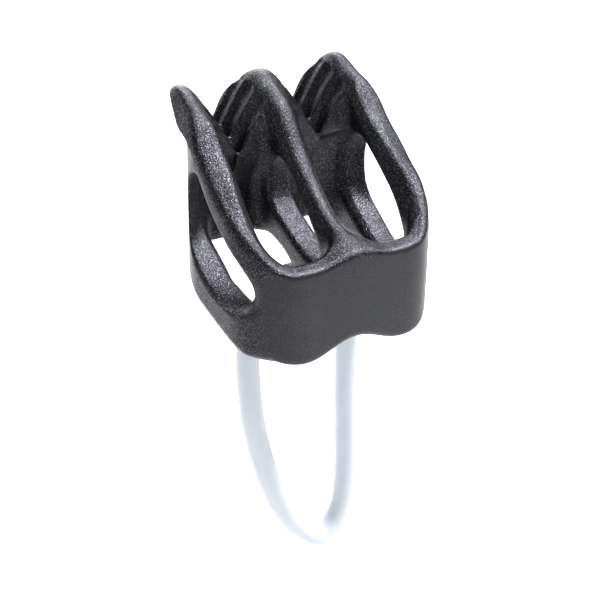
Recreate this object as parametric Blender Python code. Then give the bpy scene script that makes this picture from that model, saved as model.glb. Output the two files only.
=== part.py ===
"""Tube belay device: one forged body with two rope slots and a keeper loop.

Metres, +Z up.  X runs across the two rope slots, Y runs from the flat front
wall to the back wall, Z runs up to the toothed V grooves.  The origin is the
middle of the seat of the belay carabiner: on the centre plane, under the middle
of the rope slots, level with the lowest point of the front wall.  Dimensions
along Y below are measured from the front wall.
"""
import math

import bpy
import bmesh
from mathutils import Vector

MM = 0.001

# ---------------------------------------------------------------- dimensions
SEAT_Y = 15.0              # the origin, behind the face of the front wall
HALF_WIDTH = 22.7          # outer faces of the left and right webs
DEPTH = 31.5               # front wall to back wall, below the horns
TOP_DEPTH = 36.9           # the horns and the V blocks lean back to here
TOP_HALF_WIDTH = 21.0      # outer faces at the tips of the horns
FRONT_WALL = 4.0           # thickness of the front wall
BACK_INNER = 25.9          # inner face of the V blocks
BACK_INNER_LOW = 29.0      # inner face of the back wall below them
SLOT_CENTRE = 9.4          # each rope slot's middle, from the centre plane
SLOT_HALF = 6.4            # half width of a rope slot
SLOT_FRONT_R = 4.0         # front corners of a rope slot
SLOT_REAR_R = 2.4          # rear corners of a rope slot
FRONT_CORNER_R = 11.0      # plan radius of the front corners
REAR_CORNER_R = 10.0       # plan radius of the rear corners
HORN_CORNER_R = 4.0        # the same at the tips of the horns
HORN_MIDDLE = 18.6         # crest of the outer horns, from the centre plane
ARCH_TOP = 14.7            # underside of the back wall
TOOTH_PITCH = 3.2          # pitch of the teeth across each V groove
TOOTH_DEPTH = 0.7
TOOTH_START = 26.2         # first tooth crest
TOOTH_END = 35.8
BORE_Y, BORE_Z = 20.0, 6.8  # cross bore of the keeper loop
BORE_R = 3.0
SHEATH_R, SHEATH_BORE_R = 2.5, 2.0
CABLE_R = 1.0
FERRULE_R, FERRULE_BORE_R = 1.7, 1.3
FERRULE_LENGTH = 14.0
SHEATH_GAP = 0.3           # between the two ends of the sheath, in the bore
CABLE_GAP = 0.6            # between the two ends of the cable, in the ferrule

# side outline of body, (Y, Z): the front, bottom and back; the crown cuts the top
SIDE = [(-2, 60), (-2, 4.0), (0, 1.6), (0.9, 0.3), (3.6, -0.2), (7, 0.8),
        (10.1, 2.1), (14.3, 4.0), (18.5, 6.1), (22.8, 8.5), (26.6, 11.6),
        (29.7, 15.6), (31.9, 20.5), (33, 26), (46, 28), (46, 60)]
# crown line of the centre web, of the outer webs, and of the rim between them
CENTRE_CROWN = [(-3, 19.5), (0, 19.9), (2, 20.7), (4, 21.6), (6.8, 22.8),
                (10.2, 24.8), (13.7, 28.1), (16.8, 31.5), (19.8, 35.2),
                (21.8, 38.3), (23.2, 40.6), (24.3, 42.1), (26, 43.6),
                (28.9, 45.5), (31.3, 47.1), (33.4, 47.5), (36, 46.9),
                (40, 45.2), (44, 44)]
OUTER_CROWN = [(-3, 18.2), (0, 18.9), (2.2, 19.9), (4, 21.7), (5.5, 23.3),
               (7, 24.8), (8.6, 26.4), (10.4, 28.4), (13, 30.9), (16.1, 34.0),
               (19, 36.8), (21, 38.8), (22.4, 40.6), (23.5, 42.1),
               (25.1, 43.7), (28, 45.4), (30.4, 46.8), (32.7, 47.6),
               (35, 47.4), (38, 46.4), (44, 44)]
RIM_CROWN = [(-3, 17.6), (0, 18.2), (2, 18.9), (4, 19.6), (5, 19.8), (8, 20.0),
             (12, 22.5), (44, 44)]
# floor of the V grooves, (Y, Z)
VALLEY = [(22, 32.8), (25.8, 34.2), (27, 34.9), (28.3, 35.9), (31, 37.8),
          (33, 38.3), (36, 38.0), (42, 37.4)]
V_SLOPE, V_BEND = 2.0, 0.09  # the flanks rise by V_SLOPE * run - V_BEND * run^2
# windows, (Y, Z): the waist of those in the outer webs, their larger mouth on
# the outer faces, and the one in the centre web
WINDOW_WAIST = [(21.5, 33.4), (25.0, 33.4), (28.4, 30.6), (28.9, 26.0),
                (28.0, 22.0), (25.2, 18.8), (22.0, 16.4), (18.5, 13.4),
                (14, 11.5), (10.2, 11.0), (8.0, 12.6), (7.8, 15.6),
                (9.0, 19.6), (12.2, 24.5), (16.3, 28.8), (19.1, 31.3)]
WINDOW_MOUTH = [(21.6, 34.6), (24.2, 33.2), (25.2, 30.0), (25.4, 25.5),
                (25.1, 21.0), (23.6, 17.8), (21.5, 15.2), (18.3, 12.5),
                (13.8, 10.4), (9, 9.5), (5.2, 11.0), (4.6, 14.3),
                (6.2, 18.0), (10.8, 22.5), (15.8, 27.2), (19.2, 31.4)]
CENTRE_WINDOW = [(22.8, 33.2), (25.2, 31.6), (26.1, 28.2), (25.5, 24.2),
                 (23.6, 21.7), (20.4, 19.7), (16.5, 17.0), (11, 14.4),
                 (9.0, 14.9), (9.2, 17.6), (10.9, 20.6), (16.0, 26.6),
                 (17.6, 28.9), (18.9, 30.6), (20.6, 32.4)]
# space below the centre web, (Y, Z): its rear edge leaves the lobe of the bore
BELOW_CENTRE = [(4.6, -6), (46, -6), (46, 15.2), (29, 16.1), (25.8, 16.2),
                (22.6, 15.1), (20.0, 13.5), (19.5, 12.4), (21.4, 11.4),
                (23.8, 9.7), (25.0, 6.8), (24.2, 4.4), (22.2, 2.9), (18, 2.4),
                (10, 2.4), (4.6, 2.2)]
# centre line of the keeper loop seen from the front, (X, Z), in the plane of
# the bore; it starts and ends at the middle of the bore
LOOP = [(0, 6.8), (1.7, 6.8), (3.5, 6.75), (6.6, 5.7), (9.2, 3.0),
        (10.9, -1.2), (11.6, -6.0), (11.9, -11.4), (12.0, -19.0),
        (12.1, -26.0), (12.1, -33.0), (11.8, -39.4), (10.9, -44.3),
        (8.8, -48.3), (5.4, -49.9), (2.0, -48.2), (-1.4, -44.4),
        (-4.6, -39.0), (-7.4, -32.4), (-9.4, -25.8), (-11.0, -18.4),
        (-11.8, -11.0), (-12.0, -5.0), (-11.1, -0.6), (-9.2, 3.2),
        (-6.6, 5.8), (-3.5, 6.75), (-1.7, 6.8), (0, 6.8)]


# ---------------------------------------------------------------- helpers
def table(x, points):
    """Straight-line value of a table of (x, value) at x."""
    if x <= points[0][0]:
        return points[0][1]
    for (xa, va), (xb, vb) in zip(points, points[1:]):
        if x <= xb:
            return va + (vb - va) * (x - xa) / (xb - xa)
    return points[-1][1]


def corner_cut(points, rounds):
    """A closed outline with its corners cut, a few times over."""
    for _ in range(rounds):
        out = []
        for i, a in enumerate(points):
            b = points[(i + 1) % len(points)]
            out.append((a[0] * .75 + b[0] * .25, a[1] * .75 + b[1] * .25))
            out.append((a[0] * .25 + b[0] * .75, a[1] * .25 + b[1] * .75))
        points = out
    return points


def area(points):
    return 0.5 * sum(a[0] * b[1] - b[0] * a[1]
                     for a, b in zip(points, points[1:] + points[:1]))


def offset(points, d):
    """A closed outline moved outwards by d along its corners' bisectors."""
    if area(points) < 0:
        points = points[::-1]
    out = []
    n = len(points)
    for i in range(n):
        p, q, r = (Vector(points[(i + k) % n]) for k in (-1, 0, 1))
        u, v = (q - p).normalized(), (r - q).normalized()
        na, nb = Vector((u.y, -u.x)), Vector((v.y, -v.x))
        m = (na + nb).normalized()
        out.append(tuple(q + m * d / max(0.5, m.dot(na))))
    return out


def new_object(name, bm, material=None, origin=(0, 0, 0)):
    for v in bm.verts:
        v.co = (v.co - Vector((0, SEAT_Y, 0))) * MM - Vector(origin)
    bmesh.ops.recalc_face_normals(bm, faces=bm.faces)
    mesh = bpy.data.meshes.new(name)
    bm.to_mesh(mesh)
    bm.free()
    ob = bpy.data.objects.new(name, mesh)
    ob.location = origin
    bpy.context.scene.collection.objects.link(ob)
    if material:
        mesh.materials.append(material)
    return ob


def prism(name, outline, place, lo, hi, material=None):
    """An outline extruded from lo to hi; place turns (a, b, along) to x, y, z."""
    bm = bmesh.new()
    verts = [bm.verts.new(place(a, b, lo)) for a, b in outline]
    face = bm.faces.new(verts)
    made = bmesh.ops.extrude_face_region(bm, geom=[face])["geom"]
    shift = Vector(place(0, 0, hi)) - Vector(place(0, 0, lo))
    bmesh.ops.translate(
        bm, vec=shift, verts=[g for g in made if isinstance(g, bmesh.types.BMVert)])
    return new_object(name, bm, material)


def along_x(a, b, c):
    return (c, a, b)


def along_y(a, b, c):
    return (a, c, b)


def loft(name, rings, material=None, closed_ends=True, origin=(0, 0, 0)):
    """A skin over equal rings of points, with a face at each end."""
    bm = bmesh.new()
    rows = [[bm.verts.new(p) for p in ring] for ring in rings]
    n = len(rows[0])
    for lower, upper in zip(rows, rows[1:]):
        for i in range(n):
            j = (i + 1) % n
            bm.faces.new((lower[i], lower[j], upper[j], upper[i]))
    if closed_ends:
        bm.faces.new(rows[0][::-1])
        bm.faces.new(rows[-1])
    return new_object(name, bm, material, origin)


def arc(cx, cy, r, a0, a1, steps):
    return [(cx + r * math.cos(math.radians(a0 + (a1 - a0) * i / steps)),
             cy + r * math.sin(math.radians(a0 + (a1 - a0) * i / steps)))
            for i in range(steps + 1)]


def rounded_plan(cx, half, front, rear, rf, rr, nf, nr, rdeep=None):
    """A plan outline with round front and rear corners, anticlockwise.

    The rear corners are elliptical where rdeep, their extent along Y, is given.
    """
    k = (rdeep or rr) / rr
    corner = arc(0, 0, rr, 0, 90, nr)
    right = [(cx + half - rr + x, rear - rr * k + y * k) for x, y in corner]
    left = [(2 * cx - x, y) for x, y in reversed(right)]
    return (arc(cx - half + rf, front + rf, rf, 180, 270, nf)
            + arc(cx + half - rf, front + rf, rf, 270, 360, nf)
            + right + left)


def ease(t):
    """Smooth step from 0 to 1."""
    t = max(0.0, min(1.0, t))
    return t * t * (3 - 2 * t)


def hide(ob):
    ob.hide_render = True
    ob.display_type = "WIRE"
    ob.hide_viewport = False
    return ob


def boolean(ob, cutter, operation="DIFFERENCE"):
    m = ob.modifiers.new(cutter.name, "BOOLEAN")
    m.operation = operation
    m.solver = "EXACT"
    m.object = hide(cutter)


def principled(name, colour, roughness, metallic):
    mat = bpy.data.materials.new(name)
    mat.use_nodes = True
    node = mat.node_tree.nodes["Principled BSDF"]
    node.inputs["Base Color"].default_value = (*colour, 1)
    node.inputs["Roughness"].default_value = roughness
    node.inputs["Metallic"].default_value = metallic
    return mat


# ---------------------------------------------------------------- start clean
for ob in list(bpy.data.objects):
    bpy.data.objects.remove(ob, do_unlink=True)

anthracite = principled("anthracite_metal", (0.055, 0.055, 0.062), 0.36, 0.9)
pale_plastic = principled("pale_plastic", (0.80, 0.83, 0.88), 0.22, 0.0)
steel = principled("steel", (0.55, 0.56, 0.58), 0.35, 1.0)
crimp = principled("crimp_metal", (0.62, 0.60, 0.56), 0.3, 1.0)


# ---------------------------------------------------------------- body blank
def blank_ring(z):
    """Plan outline of the blank: it narrows to the bottom and leans back on top."""
    half = (HALF_WIDTH - 0.8 * ease((14 - z) / 15)
            - (HALF_WIDTH - TOP_HALF_WIDTH) * ease((z - 38) / 8))
    back = ease((z - 30.5) / 8)
    tip = ease((z - 40) / 6.5)
    rear = DEPTH + (TOP_DEPTH - DEPTH) * back
    wide = REAR_CORNER_R + (HORN_CORNER_R - REAR_CORNER_R) * tip
    deep = REAR_CORNER_R + (TOP_DEPTH - DEPTH) * back
    deep += (HORN_CORNER_R + 0.5 - deep) * tip
    return [(x, y, z) for x, y in rounded_plan(
        0, half, 0, rear, FRONT_CORNER_R, wide, 7, 5, deep)]


body = loft("body", [blank_ring(z) for z in
                     (-1, 3.5, 8, 14, 30.5, 33, 35, 37, 38.5, 40.5, 42.2, 44,
                      46.5, 52)],
            anthracite)

boolean(body, prism("cut_side", SIDE, along_x, -30, 30), "INTERSECT")


def crown_height(x, y):
    """Top of the body: three crown lines blended across, with rounded crests."""
    ax = abs(x)
    centre, outer = table(y, CENTRE_CROWN), table(y, OUTER_CROWN)
    inside = ease((y - 9) / 14)
    rim = (table(y, RIM_CROWN) * (1 - inside)
           + (0.5 * (centre + outer) - 1.0) * inside)
    if ax < SLOT_CENTRE:
        z = centre + (rim - centre) * ease(ax / SLOT_CENTRE)
    else:
        z = rim + (outer - rim) * ease(
            (ax - 13.2 + 3.8 * inside) / (6.5 + 1.5 * inside))
    over = ease((ax - 7.0) / 4.8)
    z -= ((1 - over) * (0.17 - 0.08 * ease((y - 27) / 4)) * ease((y - 4) / 6)
          * min(ax, 3.4) ** 2)
    fall = 0.27 if ax > HORN_MIDDLE else 0.10
    z -= over * ease((y - 22) / 9) * fall * min(abs(HORN_MIDDLE - ax), 3.8) ** 2
    return z - (ease((y - 7) / 7) * (1 - ease((y - 17) / 9))
                * 0.9 * ease((ax - 18.4) / 3.6))


def crown_section(y):
    """Everything above the crown at one depth, as a ring in X and Z."""
    half = [0, 1.7, 3.2, 5, 7, 9.4, 12, 14.3, 15.8, 17.2, 18.6, 20.2, 21.3, 22.2, 25]
    xs = [-x for x in reversed(half[1:])] + half
    return ([(x, y, crown_height(x, y)) for x in xs]
            + [(25, y, 62), (-25, y, 62)])


boolean(body, loft("cut_crown", [crown_section(y) for y in
                                 (-3, 0, 2, 4, 5.5, 7, 8.6, 10.3, 13, 16.1, 19,
                                  21, 22.4, 23.5, 25.1, 27, 29, 31.3, 33.4, 36,
                                  40, 44)]))


def hem_section(y):
    """Everything below the two shallow lobes of the front wall's lower edge."""
    ring = []
    for i in range(25):
        x = -25 + 50 * i / 24
        t = max(-1, min(1, (abs(x) - 11.8) / 11.8))
        lobe = math.cos(t * math.pi / 2) ** 2
        hem = 2.6 - 2.6 * lobe + 0.9 * ease((abs(x) - 15.5) / 7)
        ring.append((x, y, hem - 0.5 * max(0, y - 5)))
    return ring[::-1] + [(-25, y, -12), (25, y, -12)]


boolean(body, loft("cut_hem", [hem_section(y) for y in (-3, 5, 15)]))

# ---------------------------------------------------------------- rope slots
for side, sx in (("left", -1), ("right", 1)):
    cx = sx * SLOT_CENTRE
    rings = []
    for z, rear in ((-8, BACK_INNER_LOW), (25.5, BACK_INNER_LOW),
                    (28.5, BACK_INNER_LOW - 0.8), (31.5, BACK_INNER + 0.8),
                    (34.5, BACK_INNER), (58, BACK_INNER)):
        rings.append([(x, y, z) for x, y in rounded_plan(
            cx, SLOT_HALF, FRONT_WALL, rear, SLOT_FRONT_R, SLOT_REAR_R, 7, 3)])
    boolean(body, loft("cut_slot_" + side, rings))

    # opening below the back wall, its top slightly arched
    arch = [(cx - SLOT_HALF, -7)]
    for i in range(7):
        u = -SLOT_HALF + 2 * SLOT_HALF * i / 6
        arch.append((cx + u, ARCH_TOP - 0.05 * u * u))
    arch.append((cx + SLOT_HALF, -7))
    boolean(body, prism("cut_arch_" + side, arch, along_y, 18, 47))

    # rope groove: V section, its flanks scalloped between tooth crests
    def groove_section(y):
        floor = table(y, VALLEY)
        s = 0.0
        if TOOTH_START < y < TOOTH_END:
            s = TOOTH_DEPTH * abs(math.sin(
                math.pi * (y - TOOTH_START) / TOOTH_PITCH))
        ring = []
        for u in (-9.3, -7.2, -5, -3.2, -1.8, -0.8, 0,
                  0.8, 1.8, 3.2, 5, 7.2, 9.3, 12.8):
            run = math.sqrt(u * u + 0.81) - 0.9
            near = min(run, 7.4)
            rise = V_SLOPE * near - V_BEND * near ** 2 + 1.2 * (run - near)
            tooth = 1.9 * s * (1 - ease((run - 4.2) / 2.0))
            ring.append((cx + sx * u, y, floor + rise - tooth))
        ring.append((cx + sx * 12.8, y, 66))
        ring.append((cx - sx * 9.3, y, 66))
        return ring

    stations = [23.5, 25.0]
    for k in range(3):
        stations += [TOOTH_START + TOOTH_PITCH * (k + f)
                     for f in (0, 0.14, 0.5, 0.86)]
    stations += [TOOTH_END, 44]
    boolean(body, loft("cut_groove_" + side,
                       [groove_section(y) for y in stations]))

# ---------------------------------------------------------------- windows
boolean(body, prism("cut_window", corner_cut(CENTRE_WINDOW, 2), along_x,
                    -4.4, 4.4))
for side, sx in (("left", -1), ("right", 1)):
    boolean(body, loft("cut_window_" + side, [
        [(sx * x, y, z) for y, z in corner_cut(offset(points, d), 1)]
        for x, points, d in ((14.6, WINDOW_WAIST, 1.4), (17.5, WINDOW_WAIST, 0),
                             (21.8, WINDOW_MOUTH, 0), (24, WINDOW_MOUTH, 0.6))]))

# ---------------------------------------------------------------- centre web
boolean(body, prism("cut_below_centre", BELOW_CENTRE, along_x, -4.4, 4.4))
bore = [(BORE_Y + BORE_R * math.cos(2 * math.pi * i / 24),
         BORE_Z + BORE_R * math.sin(2 * math.pi * i / 24)) for i in range(24)]
boolean(body, prism("cut_bore", bore, along_x, -8, 8))

# ---------------------------------------------------------------- keeper loop


def smooth_line(points, per_span):
    """A smooth line through the points; it starts and ends along +X."""
    ext = ([(-points[1][0], points[1][1])] + list(points)
           + [(-points[-2][0], points[-2][1])])
    out = []
    for i in range(1, len(ext) - 2):
        p0, p1, p2, p3 = (Vector(ext[i + k]) for k in (-1, 0, 1, 2))
        for k in range(per_span):
            t = k / per_span
            out.append(0.5 * ((2 * p1) + (p2 - p0) * t
                              + (2 * p0 - 5 * p1 + 4 * p2 - p3) * t * t
                              + (3 * p1 - p0 - 3 * p2 + p3) * t * t * t))
    out.append(Vector(ext[-2]))
    return out


def by_length(line, lo, hi, count):
    """count + 1 points of a line, evenly from length lo to length hi."""
    run = [0.0]
    for a, b in zip(line, line[1:]):
        run.append(run[-1] + (b - a).length)
    if hi < 0:
        hi = run[-1] + hi
    out = []
    for k in range(count + 1):
        s = lo + (hi - lo) * k / count
        j = 0
        while j < len(run) - 2 and run[j + 1] < s:
            j += 1
        f = (s - run[j]) / (run[j + 1] - run[j])
        out.append(line[j].lerp(line[j + 1], f))
    return out, run[-1]


def pipe_rings(line, radius, sides):
    """Rings of a round pipe along a line in the plane of the bore."""
    rings = []
    for k, p in enumerate(line):
        a = line[max(0, k - 1)]
        b = line[min(len(line) - 1, k + 1)]
        t = (b - a).normalized()
        n = Vector((-t.y, t.x))
        rings.append([(p.x + n.x * radius * math.cos(2 * math.pi * i / sides),
                       BORE_Y + radius * math.sin(2 * math.pi * i / sides),
                       p.y + n.y * radius * math.cos(2 * math.pi * i / sides))
                      for i in range(sides)])
    return rings


def hollow_pipe(name, line, outer, inner, sides, material, origin):
    """An open pipe: outer skin, inner skin and a flat annulus at each end."""
    bm = bmesh.new()
    skins = []
    for r in (outer, inner):
        skins.append([[bm.verts.new(p) for p in ring]
                      for ring in pipe_rings(line, r, sides)])
    for skin in skins:
        for lower, upper in zip(skin, skin[1:]):
            for i in range(sides):
                j = (i + 1) % sides
                bm.faces.new((lower[i], lower[j], upper[j], upper[i]))
    for end in (0, -1):
        for i in range(sides):
            j = (i + 1) % sides
            bm.faces.new((skins[0][end][i], skins[0][end][j],
                          skins[1][end][j], skins[1][end][i]))
    return new_object(name, bm, material, origin)


PIVOT = (0, (BORE_Y - SEAT_Y) * MM, BORE_Z * MM)
route = smooth_line(LOOP, 12)
sheath_line, total = by_length(route, SHEATH_GAP / 2, -SHEATH_GAP / 2, 60)
sheath = hollow_pipe("loop_sheath", sheath_line, SHEATH_R, SHEATH_BORE_R, 12,
                     pale_plastic, PIVOT)

# the crimp sits in the straight right leg, its middle 37 mm from the bore
crimp_at = 37.0
ferrule_line, _ = by_length(route, crimp_at - FERRULE_LENGTH / 2,
                            crimp_at + FERRULE_LENGTH / 2, 5)
ferrule = hollow_pipe("loop_ferrule", ferrule_line, FERRULE_R, FERRULE_BORE_R,
                      12, crimp, PIVOT)

# the cable goes once round, from one half of the crimp to the other
double = route[:-1] + route
cable_line, _ = by_length(double, crimp_at + CABLE_GAP / 2,
                          crimp_at + total - CABLE_GAP / 2, 60)
cable = loft("loop_cable", pipe_rings(cable_line, CABLE_R, 8), steel,
             origin=PIVOT)

# everything on the loop turns about the bore
pivot = bpy.data.objects.new("loop_pivot", None)
pivot.location = PIVOT
bpy.context.scene.collection.objects.link(pivot)
for ob in (sheath, ferrule, cable):
    ob.location = (0, 0, 0)
    ob.parent = pivot

for ob in (body, sheath, ferrule, cable):
    ob.data.shade_smooth()
    ob.data.set_sharp_from_angle(angle=math.radians(38))
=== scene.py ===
import math

import bmesh
import bpy
import numpy as np
from mathutils import Matrix, Vector


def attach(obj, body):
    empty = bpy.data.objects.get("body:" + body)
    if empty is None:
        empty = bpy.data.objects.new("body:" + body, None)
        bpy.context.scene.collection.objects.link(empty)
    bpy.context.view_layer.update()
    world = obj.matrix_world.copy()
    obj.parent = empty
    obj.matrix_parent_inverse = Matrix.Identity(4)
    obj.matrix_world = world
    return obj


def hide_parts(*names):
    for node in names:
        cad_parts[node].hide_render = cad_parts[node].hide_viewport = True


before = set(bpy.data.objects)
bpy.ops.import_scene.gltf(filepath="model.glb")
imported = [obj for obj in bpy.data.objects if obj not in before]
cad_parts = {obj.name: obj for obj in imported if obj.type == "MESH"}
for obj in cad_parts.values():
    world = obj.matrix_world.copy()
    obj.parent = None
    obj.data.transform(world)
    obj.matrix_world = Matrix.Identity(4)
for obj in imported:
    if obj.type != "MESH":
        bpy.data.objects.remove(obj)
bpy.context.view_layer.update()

MM = 0.001
SEAT_Y = 15.0          # the origin lies this far behind the front wall

# ---- dimensions in mm: X width, Y back from the front face, Z up ----
HW=22.0; XS=9.4; SLOT_HW=6.4; WALL=4.0; BACK_IN=28.0; BACK_OUT=34.0
def smin(a,b,k):
    h=np.clip(0.5+0.5*(b-a)/k,0,1); return b+(a-b)*h-k*h*(1-h)
def smax(a,b,k): return -smin(-a,-b,k)
def poly_sdf(px,py,V):
    V=np.asarray(V,float); n=len(V)
    d=np.full(px.shape,1e9); s=np.ones(px.shape)
    for i in range(n):
        a=V[i]; b=V[i-1]
        ex,ey=b[0]-a[0],b[1]-a[1]
        wx,wy=px-a[0],py-a[1]
        t=np.clip((wx*ex+wy*ey)/(ex*ex+ey*ey),0,1)
        bx,by=wx-ex*t,wy-ey*t
        d=np.minimum(d,bx*bx+by*by)
        c1=py>=a[1]; c2=py<b[1]; c3=ex*wy>ey*wx
        s=np.where((c1&c2&c3)|(~c1&~c2&~c3),-s,s)
    return s*np.sqrt(d)
def cut_corners(V,n=3,closed=True):
    V=np.asarray(V,float)
    for _ in range(n):
        A=V; B=np.roll(V,-1,0)
        V=np.stack([A*0.75+B*0.25,A*0.25+B*0.75],1).reshape(-1,2)
    return V
def tab(x,pts):
    """Smooth curve through a table of (x, value): cubic pieces."""
    p=np.asarray(pts,float); xs,ys=p[:,0],p[:,1]
    h=np.diff(xs); s=np.diff(ys)/h
    m=np.concatenate([[s[0]],(s[:-1]*h[1:]+s[1:]*h[:-1])/(h[:-1]+h[1:]),[s[-1]]])
    x=np.clip(x,xs[0],xs[-1])
    i=np.clip(np.searchsorted(xs,x,side="right")-1,0,len(h)-1)
    t=(x-xs[i])/h[i]
    return ((1+2*t)*(1-t)**2*ys[i]+t*(1-t)**2*h[i]*m[i]
            +t*t*(3-2*t)*ys[i+1]+t*t*(t-1)*h[i]*m[i+1])
def sstep(x): x=np.clip(x,0,1); return x*x*(3-2*x)
# side outline of the outer webs and the whole body (Y,Z); the top is a height field
SIDE=[(0,0.2),(1.2,-0.6),(4.0,-0.1),(7,0.8),(10.1,2.1),(14.3,3.9),(18.5,6.0),(22.8,8.3),(26.8,11.4),(30.0,15.4),(31.9,20.5),(33,26),(45,28),(45,60),(0,60)]
CEN=[(-1,19.7),(0,19.9),(2,20.7),(4,21.6),(6.8,22.8),(10.2,24.8),(13.7,28.1),(16.8,31.5),(19.8,35.2),(21.8,38.3),(23.2,40.6),(24.3,42.1),(26,43.6),(28.9,45.5),(31.3,47.1),(33.4,47.5),(36,46.9),(40,45.2),(44,44)]
OUT=[(-1,18.6),(0,18.9),(2.2,19.9),(4,21.7),(5.5,23.3),(7,24.8),(8.6,26.4),(10.4,28.4),(13,30.9),(16.1,34.0),(19,36.8),(21,38.8),(22.4,40.6),(23.5,42.1),(25.1,43.7),(28,45.4),(30.4,46.8),(32.7,47.6),(35,47.4),(38,46.4),(44,44)]
MID=[(-1,17.8),(0,18.2),(2,18.9),(4,19.6),(5,19.8),(8,20.0),(12,22.5),(44,44)]
VAL=[(22,32.8),(25.8,34.2),(27,34.9),(28.3,35.9),(31,37.8),(33,38.3),(36,38.0),(42,37.4)]
REARB=[(0,36.3),(1.6,36.6),(3.6,36.8),(5.6,36.3),(7.6,35.6),(9.6,35.3),(12.4,35.2)]
# windows: through the outer webs at the waist (A) and outside (B), and through the centre web (C)
WA=[(21.5,33.4),(25.0,33.4),(28.4,30.6),(28.9,26.0),(28.0,22.0),(25.2,18.8),(22.0,16.4),(18.5,13.4),(14,11.5),(10.2,11.0),(8.0,12.6),(7.8,15.6),(9.0,19.6),(12.2,24.5),(16.3,28.8),(19.1,31.3)]
WB=[(21.6,34.6),(24.2,33.2),(25.2,30.0),(25.4,25.5),(25.1,21.0),(23.6,17.8),(21.5,15.2),(18.3,12.5),(13.8,10.4),(9,9.5),(5.2,11.0),(4.6,14.3),(6.2,18.0),(10.8,22.5),(15.8,27.2),(19.2,31.4)]
WC=[(22.8,33.2),(25.2,31.6),(26.1,28.2),(25.5,24.2),(23.6,21.7),(20.4,19.7),(16.5,17.0),(11,14.4),(9.0,14.9),(9.2,17.6),(10.9,20.6),(16.0,26.6),(17.6,28.9),(18.9,30.6),(20.6,32.4)]
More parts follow.
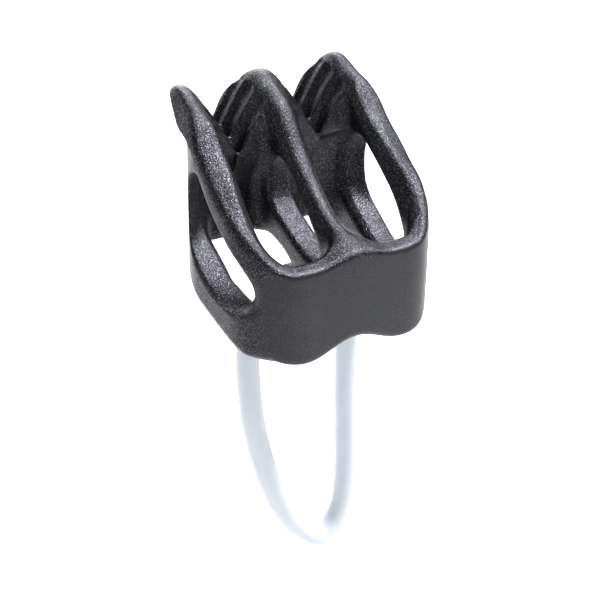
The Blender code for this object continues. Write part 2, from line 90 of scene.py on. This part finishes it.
# underside of the centre web: strut above, lobe with the bore in front
CBOT=[(-2,-3),(3.0,2.2),(10,2.4),(19,2.3),(24.2,3.4),(25.6,6.8),(23.8,10.6),(18.9,12.0),(19.6,13.8),(22.6,15.4),(25.8,16.5),(29,16.2),(45,15.2),(45,60),(-2,60)]
def body_sdf(X,Y,Z,fine=True):
    ax=np.abs(X)
    xv=ax-XS
    c=tab(Y,CEN); o=tab(Y,OUT); m=tab(Y,MID)
    k=sstep((Y-4)/6.0)
    kk=sstep((Y-9)/14.0); m=m*(1-kk)+(0.5*(c+o)-1.0)*kk
    t1=sstep(ax/9.4); t2=sstep((ax-13.2+3.8*kk)/(6.5+1.5*kk))
    T0=np.where(ax<9.4, c+(m-c)*t1, m+(o-m)*t2)
    # rounded crests: the centre web and the horns fall away on both sides
    over=sstep((ax-7.0)/4.8)
    hz=sstep((Y-22)/9.0)
    T0=T0-(1-over)*(0.17-0.08*sstep((Y-27)/4))*k*np.minimum(ax,3.4)**2
    T0=T0-over*hz*np.where(ax>18.6,0.27*(ax-18.6)**2,0.10*np.minimum(18.6-ax,3.8)**2)
    mid=sstep((Y-7)/7.0)*(1-sstep((Y-17)/9.0))
    T0=T0-mid*0.9*sstep((ax-18.4)/3.6)
    # plan outline
    hw=HW+0.2 - 0.5*sstep((14-Z)/15.0) - 1.2*sstep((Z-38)/8.0) + 0.75*sstep(1-np.abs(Y-12)/13)*sstep((Z-8)/12)*sstep((42-Z)/10)
    hw=np.minimum(hw,22.65)
    yf=0.0015*ax*ax + 0.25*sstep((Z-19)/3.0)
    rf=11.0
    zv=tab(Y,VAL)
    xa=np.sqrt(xv*xv+0.9**2)-0.9
    xf=np.minimum(xa,7.4); fv=zv+2.0*xf-0.09*xf**2+0.67*(xa-xf)
    T=-smax(-fv,-T0,1.6)
    fl=sstep(1-(T-Z-0.4)/(7.0-2.8*sstep((ax-15)/4)))
    rb=10.2-6.6*fl
    yb=31.5+(tab(np.abs(xv),REARB)-31.5)*fl
    qx=ax-(hw-rf); qy=(yf+rf)-Y
    dfront=np.where((qx>0)&(qy>0),np.hypot(np.maximum(qx,0),np.maximum(qy,0))-rf,np.maximum(ax-hw,yf-Y))
    qy2=Y-(yb-rb); qx2=ax-(hw-rb)
    dback=np.where((qx2>0)&(qy2>0),np.hypot(np.maximum(qx2,0),np.maximum(qy2,0))-rb,np.maximum(ax-hw,Y-yb))
    hull=np.maximum(dfront,dback)
    side=poly_sdf(Y,Z,cut_corners(SIDE,2))
    d=smax(hull,side,2.0)
    # top height field, its slope is about 45 degrees along the struts
    sl=sstep((Y-3.0)/5.0)
    dt=(Z-T0)*(0.95-0.23*sl)
    kt=1.1+(1.5-0.8*sstep((ax-18)/3))*sl
    d=smax(d,dt,kt)
    # bottom lobes of the front wall
    lob=np.cos(np.clip((ax-11.8)/11.8,-1,1)*np.pi*0.5)**2
    zbot=2.6-2.9*lob+0.9*sstep((ax-15.5)/7.0)
    d=smax(d,(zbot-Z)*0.9-np.maximum(0,Y-4)*0.45,1.5)
    # rope slots
    ybk=25.9+3.1*sstep((34.5-Z)/9.0)
    hwz=SLOT_HW-0.0
    rfs=4.0; rbs=2.4
    wl=WALL
    q1x=np.abs(xv)-(hwz-rfs); q1y=(wl+rfs)-Y
    s1=np.where((q1x>0)&(q1y>0),np.hypot(np.maximum(q1x,0),np.maximum(q1y,0))-rfs,np.maximum(np.abs(xv)-hwz,wl-Y))
    q2x=np.abs(xv)-(hwz-rbs); q2y=Y-(ybk-rbs)
    s2=np.where((q2x>0)&(q2y>0),np.hypot(np.maximum(q2x,0),np.maximum(q2y,0))-rbs,np.maximum(np.abs(xv)-hwz,Y-ybk))
    slot=np.maximum(s1,s2)
    d=smax(d,-slot,1.3+0.9*sl)
    # opening below the back wall
    arch=14.7-0.05*xv*xv
    low=np.maximum(np.maximum(np.abs(xv)-hwz,Z-arch),18-Y)
    d=smax(d,-low,1.4)
    # rope grooves with cross teeth
    ph=(Y-26.2)/3.2
    sc=np.abs(np.sin(np.pi*ph))
    fade=sstep((np.minimum(c,o)-0.9-Z)/1.0)
    scal=0.95*sc*sstep((Y-25.8)/0.8)*sstep((36.2-Y)/0.5)*fade
    wedge=(fv-Z)/np.sqrt(1+(2.0-0.18*xf)**2) - scal
    wedge=np.maximum(wedge,23.5-Y)
    d=smax(d,-wedge,0.5)
    # windows
    wa=poly_sdf(Y,Z,cut_corners(WA,3)); wb=poly_sdf(Y,Z,cut_corners(WB,3)); wc=poly_sdf(Y,Z,cut_corners(WC,3))
    w=np.clip(1+hull/4.6,0,1.03)**2.3*(1.12-0.18*sstep((Y-14)/8))
    wo=wa+(wb-wa)*w-0.55*np.clip(17.5-ax,0,2.0)
    d=np.where(ax>9.6,smax(d,-wo,0.9),smax(d,-wc,1.4))
    # underside of the centre web and its cross bore
    cb=poly_sdf(Y,Z,cut_corners(CBOT,2))
    d=np.where(ax<5.4,smax(d,np.where(Y>4.5,cb,-9.0),1.2),d)
    bo=np.hypot(Y-20.0,Z-6.8)-3.0
    d=np.where(ax<9.0,smax(d,-bo,0.8),d)
    return d
def grid_values(f,lo,hi,h):
    ax=[np.arange(l,u+h,h) for l,u in zip(lo,hi)]
    X,Y,Z=np.meshgrid(*ax,indexing='ij')
    v=np.empty(X.shape,np.float32)
    for i in range(X.shape[0]): v[i]=f(X[i],Y[i],Z[i])
    return ax,v
def surface_nets(ax,v):
    s=v<0
    n=np.array(v.shape)
    # cells
    c=np.zeros(n-1,np.uint8)
    corners=[(i,j,k) for i in (0,1) for j in (0,1) for k in (0,1)]
    cnt=np.zeros(n-1,np.int16)
    for (i,j,k) in corners: cnt+=s[i:n[0]-1+i,j:n[1]-1+j,k:n[2]-1+k]
    act=(cnt>0)&(cnt<8)
    idx=np.full(n-1,-1,np.int64); ci=np.argwhere(act); idx[act]=np.arange(len(ci))
    pos=np.zeros((len(ci),3)); num=np.zeros(len(ci))
    I,J,K=ci.T
    edges=[(a,b) for a in corners for b in corners if sum(abs(x-y) for x,y in zip(a,b))==1 and a<b]
    for a,b in edges:
        va=v[I+a[0],J+a[1],K+a[2]]; vb=v[I+b[0],J+b[1],K+b[2]]
        m=(va<0)!=(vb<0)
        t=np.where(m,va/np.where(m,va-vb,1),0)
        p=np.array(a)[None]+t[:,None]*(np.array(b)-np.array(a))[None]
        pos[m]+=p[m]; num+=m
    pos/=num[:,None]; pos+=ci
    h=np.array([a[1]-a[0] for a in ax]); o=np.array([a[0] for a in ax])
    P=pos*h+o
    quads=[]
    for axis in range(3):
        sl0=[slice(None)]*3; sl1=[slice(None)]*3
        sl0[axis]=slice(0,-1); sl1[axis]=slice(1,None)
        a=s[tuple(sl0)]; b=s[tuple(sl1)]
        e=np.argwhere(a!=b)
        o1,o2=[(1,2),(2,0),(0,1)][axis]
        ok=(e[:,o1]>0)&(e[:,o2]>0)&(e[:,o1]<n[o1]-1)&(e[:,o2]<n[o2]-1)
        e=e[ok]
        inside=a[tuple(e.T)]
        def cell(d1,d2):
            q=e.copy(); q[:,o1]-=d1; q[:,o2]-=d2; return idx[tuple(q.T)]
        q=np.stack([cell(1,1),cell(0,1),cell(0,0),cell(1,0)],1)
        q[~inside]=q[~inside][:,::-1]
        quads.append(q)
    return P,np.concatenate(quads)


GRID_LO, GRID_HI, GRID_STEP = (-24.2, -2.2, -2.2), (24.2, 43.5, 51.5), 0.3


def settle(points, field, rounds):
    """Moves points onto the zero surface of a field along its slope."""
    e = 0.02
    for _ in range(rounds):
        x, y, z = points.T
        v = field(x, y, z)
        g = np.stack([(field(x + e, y, z) - field(x - e, y, z)),
                      (field(x, y + e, z) - field(x, y - e, z)),
                      (field(x, y, z + e) - field(x, y, z - e))], 1) / (2 * e)
        m = (g * g).sum(1)
        step = np.clip(v / np.maximum(m, 0.1), -0.12, 0.12)
        points = points - g * step[:, None]
    return points


def satin_mask(points):
    """Where the surface is smoother: the front wall below its crease."""
    x, y, z = points.T
    return sstep((10.0 - y) / 8.0) * sstep((19.0 - z + 0.0 * x) / 1.2)


# ------------------------------------------------------------------ camera
# direction of view and scale, as in the photograph
CAM_AZ, CAM_EL, CAM_F, CAM_PX = 36.0, 23.0, 2300.0, 5.39
CAM_REF, CAM_PIX = (0.0, 0.0, 19.3), (361.0, 257.0)


def make_camera():
    t, p = math.radians(CAM_AZ), math.radians(CAM_EL)
    right = Vector((math.cos(t), -math.sin(t), 0))
    look = Vector((math.sin(t) * math.cos(p), math.cos(t) * math.cos(p),
                   -math.sin(p)))
    up = right.cross(look)
    dist = CAM_F / CAM_PX
    x = (CAM_PIX[0] - 300) / CAM_F * dist
    y = -(CAM_PIX[1] - 300) / CAM_F * dist
    place = Vector(CAM_REF) - look * dist - right * x - up * y
    place.y -= SEAT_Y
    data = bpy.data.cameras.new("camera")
    cam = bpy.data.objects.new("camera", data)
    bpy.context.scene.collection.objects.link(cam)
    data.sensor_width = 36
    data.lens = 36 * CAM_F / 600
    data.clip_start, data.clip_end = 0.01, 20
    data.dof.use_dof = False
    turn = Matrix((( right.x, up.x, -look.x), (right.y, up.y, -look.y),
                   (right.z, up.z, -look.z))).to_4x4()
    cam.matrix_world = Matrix.Translation(place * MM) @ turn
    bpy.context.scene.camera = cam
    return cam


make_camera()


# ------------------------------------------------------------------ materials
class Nodes:
    """Small helper to build a node material."""

    def __init__(self, name):
        self.mat = bpy.data.materials.new(name)
        self.mat.use_nodes = True
        self.tree = self.mat.node_tree
        self.tree.nodes.clear()
        self.out = self.tree.nodes.new("ShaderNodeOutputMaterial")
        self.bsdf = self.tree.nodes.new("ShaderNodeBsdfPrincipled")
        self.link(self.bsdf.outputs[0], self.out.inputs[0])
        self.co = self.tree.nodes.new("ShaderNodeTexCoord").outputs["Object"]

    def link(self, a, b):
        self.tree.links.new(a, b)

    def put(self, socket, value):
        if hasattr(value, "links"):
            self.link(value, socket)
        elif isinstance(value, (tuple, list)):
            socket.default_value = (*value, 1) if socket.type == "RGBA" else value
        else:
            socket.default_value = value

    def noise(self, scale, detail=2.0, rough=0.5, lac=2.0, stretch=None):
        n = self.tree.nodes.new("ShaderNodeTexNoise")
        n.inputs["Scale"].default_value = scale
        n.inputs["Detail"].default_value = detail
        n.inputs["Roughness"].default_value = rough
        n.inputs["Lacunarity"].default_value = lac
        co = self.co
        if stretch:
            m = self.tree.nodes.new("ShaderNodeMapping")
            m.inputs["Scale"].default_value = stretch
            self.link(co, m.inputs[0])
            co = m.outputs[0]
        self.link(co, n.inputs["Vector"])
        return n.outputs["Fac"]

    def voronoi(self, scale, feature="F1", out="Distance"):
        n = self.tree.nodes.new("ShaderNodeTexVoronoi")
        n.feature = feature
        n.inputs["Scale"].default_value = scale
        self.link(self.co, n.inputs["Vector"])
        return n.outputs[out]

    def ramp(self, value, *stops, mode="LINEAR"):
        n = self.tree.nodes.new("ShaderNodeValToRGB")
        n.color_ramp.interpolation = mode
        e = n.color_ramp.elements
        while len(e) < len(stops):
            e.new(0.5)
        for el, (pos, col) in zip(e, stops):
            el.position = pos
            el.color = (col, col, col, 1) if not isinstance(col, tuple) else (*col, 1)
        self.link(value, n.inputs[0])
        return n.outputs[0]

    def math(self, op, a, b=0.0, clamp=False):
        n = self.tree.nodes.new("ShaderNodeMath")
        n.operation = op
        n.use_clamp = clamp
        self.put(n.inputs[0], a)
        self.put(n.inputs[1], b)
        return n.outputs[0]

    def mix(self, fac, a, b, mode="MIX"):
        n = self.tree.nodes.new("ShaderNodeMix")
        n.data_type = "RGBA"
        n.blend_type = mode
        self.put(n.inputs[0], fac)
        self.put(n.inputs[6], a)
        self.put(n.inputs[7], b)
        return n.outputs[2]

    def mixf(self, fac, a, b):
        n = self.tree.nodes.new("ShaderNodeMix")
        n.data_type = "FLOAT"
        self.put(n.inputs[0], fac)
        self.put(n.inputs[2], a)
        self.put(n.inputs[3], b)
        return n.outputs[0]

    def attr(self, name):
        n = self.tree.nodes.new("ShaderNodeAttribute")
        n.attribute_name = name
        return n.outputs["Fac"]

    def sep(self, socket):
        n = self.tree.nodes.new("ShaderNodeSeparateXYZ")
        self.link(socket, n.inputs[0])
        return n.outputs

    def normal(self):
        return self.tree.nodes.new("ShaderNodeNewGeometry").outputs["Normal"]

    def bump(self, height, strength, distance, under=None):
        n = self.tree.nodes.new("ShaderNodeBump")
        n.inputs["Strength"].default_value = strength
        n.inputs["Distance"].default_value = distance
        self.put(n.inputs["Height"], height)
        if under is not None:
            self.link(under, n.inputs["Normal"])
        return n.outputs[0]

    def set(self, **kw):
        names = {"color": "Base Color", "rough": "Roughness", "metal": "Metallic",
                 "normal": "Normal", "spec": "Specular IOR Level", "ior": "IOR",
                 "coat": "Coat Weight", "coat_rough": "Coat Roughness",
                 "trans": "Transmission Weight", "sss": "Subsurface Weight",
                 "sss_r": "Subsurface Radius", "sss_s": "Subsurface Scale",
                 "alpha": "Alpha"}
        for k, v in kw.items():
            self.put(self.bsdf.inputs[names[k]], v)


def body_material():
    """Hard-anodised alloy: tumbled and speckled, smoother on the front wall."""
    n = Nodes("anodised_alloy")
    smooth = n.attr("satin")            # 1 on the front wall, 0 where tumbled
    grain = n.noise(3400, 2.0, 0.75)    # about 0.3 mm
    fine = n.noise(6400, 1.5, 0.7)
    blotch = n.noise(170, 3.0, 0.6)
    tint = n.noise(75, 2.0, 0.5)
    speck = n.ramp(grain, (0.50, 0.0), (0.70, 1.0))
    tone = n.ramp(tint, (0.38, 0.0), (0.62, 1.0))
    base_a = n.mix(tone, (0.010, 0.008, 0.014), (0.010, 0.012, 0.013))
    dark = n.mix(n.ramp(blotch, (0.35, 0.0), (0.7, 1.0)), base_a,
                 (0.018, 0.018, 0.022))
    tumbled = n.mix(speck, dark, (0.12, 0.12, 0.135))
    satin_a = n.mix(tone, (0.028, 0.028, 0.033), (0.030, 0.031, 0.033))
    satin = n.mix(n.math("MULTIPLY", speck, 0.22), satin_a, (0.11, 0.11, 0.12))
    rough_t = n.mixf(fine, 0.22, 0.42)
    rough_s = n.mixf(fine, 0.38, 0.48)
    h = n.math("ADD", grain, n.math("MULTIPLY", fine, 0.6))
    b1 = n.bump(h, 0.9, 0.00011)
    b2 = n.bump(h, 0.30, 0.00005)
    bump = n.mix(smooth, b1, b2)
    n.set(color=n.mix(smooth, tumbled, satin), metal=0.85,
          rough=n.mixf(smooth, rough_t, rough_s), normal=bump, spec=0.5)
    return n.mat


def sheath_material():
    n = Nodes("pale_sleeve")
    m = n.noise(90, 3.0, 0.5)
    fine = n.noise(900, 2.0, 0.6)
    n.set(color=n.mix(m, (0.52, 0.56, 0.63), (0.58, 0.62, 0.68)),
          rough=n.mixf(fine, 0.16, 0.26), spec=0.35, ior=1.45, sss=0.25,
          sss_r=(0.004, 0.004, 0.004), sss_s=1.0, coat=0.12, coat_rough=0.10,
          normal=n.bump(m, 0.12, 0.0003))
    return n.mat


def cable_material():
    n = Nodes("steel_strand")
    fine = n.noise(1500, 2.0, 0.6)
    n.set(color=n.mix(fine, (0.42, 0.43, 0.45), (0.62, 0.63, 0.65)), metal=1.0,
          rough=n.mixf(fine, 0.25, 0.42), normal=n.bump(fine, 0.2, 0.00005))
    return n.mat


def crimp_material():
    n = Nodes("crimp_alloy")
    fine = n.noise(1200, 2.0, 0.6, stretch=(1, 1, 0.15))
    n.set(color=n.mix(fine, (0.50, 0.48, 0.44), (0.70, 0.68, 0.62)), metal=1.0,
          rough=n.mixf(fine, 0.28, 0.45), normal=n.bump(fine, 0.25, 0.00005))
    return n.mat


# ------------------------------------------------------------------ pieces
def add_object(name, verts, faces, material, smooth=True):
    mesh = bpy.data.meshes.new(name)
    mesh.from_pydata(verts, [], faces)
    mesh.update()
    if smooth:
        mesh.shade_smooth()
    mesh.materials.append(material)
    ob = bpy.data.objects.new(name, mesh)
    bpy.context.scene.collection.objects.link(ob)
    return ob


def make_body():
    ax, values = grid_values(body_sdf, GRID_LO, GRID_HI, GRID_STEP)
    points, quads = surface_nets(ax, values)
    points = settle(points, body_sdf, 2)
    out = points.copy()
    out[:, 1] -= SEAT_Y
    ob = add_object("belay_body", (out * MM).tolist(), quads.tolist(),
                    body_material())
    mark = ob.data.attributes.new("satin", "FLOAT", "POINT")
    mark.data.foreach_set("value", satin_mask(points).astype(np.float32))
    return ob


# centre line of the keeper loop in the plane of its bore, (X, Z)
BORE_Y, BORE_Z = 20.0, 6.8
LOOP = [(0, 6.8), (1.7, 6.8), (3.5, 6.75), (6.6, 5.7), (9.2, 3.0),
        (10.9, -1.2), (11.6, -6.0), (11.9, -11.4), (12.0, -19.0),
        (12.1, -26.0), (12.1, -33.0), (11.8, -39.4), (10.9, -44.3),
        (8.8, -48.3), (5.4, -49.9), (2.0, -48.2), (-1.4, -44.4),
        (-4.6, -39.0), (-7.4, -32.4), (-9.4, -25.8), (-11.0, -18.4),
        (-11.8, -11.0), (-12.0, -5.0), (-11.1, -0.6), (-9.2, 3.2),
        (-6.6, 5.8), (-3.5, 6.75), (-1.7, 6.8), (0, 6.8)]
SHEATH_R, SHEATH_BORE_R, SHEATH_GAP = 2.5, 2.0, 0.3
CRIMP_AT = 37.0


def smooth_line(points, per_span):
    ext = ([(-points[1][0], points[1][1])] + list(points)
           + [(-points[-2][0], points[-2][1])])
    out = []
    for i in range(1, len(ext) - 2):
        p0, p1, p2, p3 = (Vector(ext[i + k]) for k in (-1, 0, 1, 2))
        for k in range(per_span):
            t = k / per_span
            out.append(0.5 * ((2 * p1) + (p2 - p0) * t
                              + (2 * p0 - 5 * p1 + 4 * p2 - p3) * t * t
                              + (3 * p1 - p0 - 3 * p2 + p3) * t * t * t))
    out.append(Vector(ext[-2]))
    return out


def by_length(line, lo, hi, count):
    run = [0.0]
    for a, b in zip(line, line[1:]):
        run.append(run[-1] + (b - a).length)
    if hi < 0:
        hi = run[-1] + hi
    out, at = [], []
    j = 0
    for k in range(count + 1):
        s = lo + (hi - lo) * k / count
        while j < len(run) - 2 and run[j + 1] < s:
            j += 1
        f = (s - run[j]) / (run[j + 1] - run[j])
        out.append(line[j].lerp(line[j + 1], f))
        at.append(s)
    return out, at, run[-1]


def sweep(line, radius, sides, twist=0.0):
    """Rings round a line in the plane of the bore; radius may vary along it."""
    rings = []
    for k, p in enumerate(line):
        a, b = line[max(0, k - 1)], line[min(len(line) - 1, k + 1)]
        t = (b - a).normalized()
        n = Vector((-t.y, t.x))
        ring = []
        for i in range(sides):
            w = 2 * math.pi * i / sides + twist * k
            r = radius(k, w) if callable(radius) else radius
            ring.append(((p.x + n.x * r * math.cos(w)) * MM,
                         (BORE_Y - SEAT_Y + r * math.sin(w)) * MM,
                         (p.y + n.y * r * math.cos(w)) * MM))
        rings.append(ring)
    return rings


def skin(rings, closed=True):
    verts = [v for r in rings for v in r]
    n = len(rings[0])
    faces = []
    for k in range(len(rings) - 1 if closed is not None else 0):
        for i in range(n):
            j = (i + 1) % n
            faces.append((k * n + i, k * n + j, (k + 1) * n + j, (k + 1) * n + i))
    return verts, faces


def pipe(name, line, outer, inner, sides, material):
    """An open pipe whose ends are closed by flat rings between its outer and inner walls."""
    rings_out = sweep(line, outer, sides)
    rings_in = sweep(line, inner, sides)
    rings = rings_out + rings_in[::-1] + [rings_out[0]]
    n, verts, faces = sides, [], []
    rings = rings[:-1]
    for r in rings:
        verts += r
    m = len(rings)
    for k in range(m):
        k2 = (k + 1) % m
        for i in range(n):
            j = (i + 1) % n
            faces.append((k * n + i, k2 * n + i, k2 * n + j, k * n + j))
    ob = add_object(name, verts, faces, material)
    bm = bmesh.new()
    bm.from_mesh(ob.data)
    bmesh.ops.recalc_face_normals(bm, faces=bm.faces)
    bm.to_mesh(ob.data)
    bm.free()
    ob.data.shade_smooth()
    ob.data.set_sharp_from_angle(angle=math.radians(40))
    return ob


def make_loop():
    route = smooth_line(LOOP, 16)
    line, at, total = by_length(route, SHEATH_GAP / 2, -SHEATH_GAP / 2, 260)

    def outer(k, w):
        # a slight set where the crimp fills the sleeve
        s = at[k] - CRIMP_AT
        swell = 0.5 * (math.tanh((s + 8) / 1.6) - math.tanh((s - 8) / 1.6))
        return SHEATH_R - 0.09 + 0.09 * swell

    sheath = pipe("keeper_sleeve", line, outer, SHEATH_BORE_R, 40,
                  sheath_material())
    crimp_line, at2, _ = by_length(route, CRIMP_AT - 7, CRIMP_AT + 7, 70)

    def dents(k, w):
        # three pressed bands
        s = (at2[k] - CRIMP_AT) / 4.4
        return 1.66 - 0.14 * max(0, math.cos(math.pi * 2 * s)) ** 2 * (abs(s) < 1.3)

    ferrule = pipe("keeper_crimp", crimp_line, dents, 1.3, 28, crimp_material())
    double = route[:-1] + route
    cable_line, _, _ = by_length(double, CRIMP_AT + 0.3,
                                 CRIMP_AT + total - 0.3, 420)

    def strands(k, w):
        return 0.90 + 0.10 * abs(math.cos(3 * (w - 0.19 * k)))

    rings = sweep(cable_line, strands, 36)
    verts, faces = skin(rings)
    n = 36
    faces.append(tuple(range(n))[::-1])
    faces.append(tuple(range(len(verts) - n, len(verts))))
    cable = add_object("keeper_cable", verts, faces, cable_material())
    bm = bmesh.new()
    bm.from_mesh(cable.data)
    bmesh.ops.recalc_face_normals(bm, faces=bm.faces)
    bm.to_mesh(cable.data)
    bm.free()
    return sheath, ferrule, cable


body = make_body()
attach(body, "body")
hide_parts("body")
sheath, ferrule, cable = make_loop()
for piece, node, slot in ((sheath, "loop_sheath", "sheath_plastic"),
                          (ferrule, "loop_ferrule", "ferrule_metal"),
                          (cable, "loop_cable", "cable_steel")):
    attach(piece, "keeper_loop")
    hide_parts(node)


# ------------------------------------------------------------------ stage
def make_stage():
    n = Nodes("studio_floor")
    grain = n.noise(30, 2.0, 0.5)
    n.set(color=n.mix(grain, (0.74, 0.74, 0.74), (0.76, 0.76, 0.76)), rough=0.9,
          spec=0.1)
    mesh = bpy.data.meshes.new("studio_floor")
    r, z = 6.0, -0.075
    mesh.from_pydata([(-r, -r, z), (r, -r, z), (r, r, z), (-r, r, z)], [],
                     [(0, 1, 2, 3)])
    mesh.materials.append(n.mat)
    floor = bpy.data.objects.new("studio_floor", mesh)
    bpy.context.scene.collection.objects.link(floor)
    world = bpy.data.worlds.new("studio")
    bpy.context.scene.world = world
    world.use_nodes = True
    bg = world.node_tree.nodes["Background"]
    bg.inputs[0].default_value = (1, 1, 1, 1)
    bg.inputs[1].default_value = 0.18


def area_light(name, place, size, power, aim=(0, 0.004, 0.02), size_y=None):
    data = bpy.data.lights.new(name, "AREA")
    data.energy = power
    data.size = size
    if size_y:
        data.shape = "RECTANGLE"
        data.size_y = size_y
    ob = bpy.data.objects.new(name, data)
    bpy.context.scene.collection.objects.link(ob)
    ob.location = place
    ob.rotation_euler = (Vector(aim) - Vector(place)).to_track_quat(
        "-Z", "Y").to_euler()
    return ob


def soft_sun(name, come_from, angle, power):
    """A wide, even light from one direction, so that the far floor is lit too."""
    data = bpy.data.lights.new(name, "SUN")
    data.energy = power
    data.angle = angle
    ob = bpy.data.objects.new(name, data)
    bpy.context.scene.collection.objects.link(ob)
    ob.rotation_euler = (-Vector(come_from)).to_track_quat("-Z", "Y").to_euler()
    return ob


make_stage()
area_light("key", (0.36, -0.20, 0.51), 0.17, 8.2)
soft_sun("overhead", (0.50, 0.04, 0.86), 0.45, 3.0)
area_light("rim", (0.33, 0.46, 0.30), 0.20, 2.5)
area_light("back", (-0.02, 0.54, 0.34), 0.36, 2.8, size_y=0.12)
area_light("back_left", (-0.36, 0.46, 0.27), 0.14, 1.2)
area_light("left", (-0.50, 0.03, 0.26), 0.12, 0.3)
area_light("low_fill", (-0.30, -0.60, 0.05), 0.30, 0.3)
bpy.context.scene.view_settings.view_transform = "Standard"
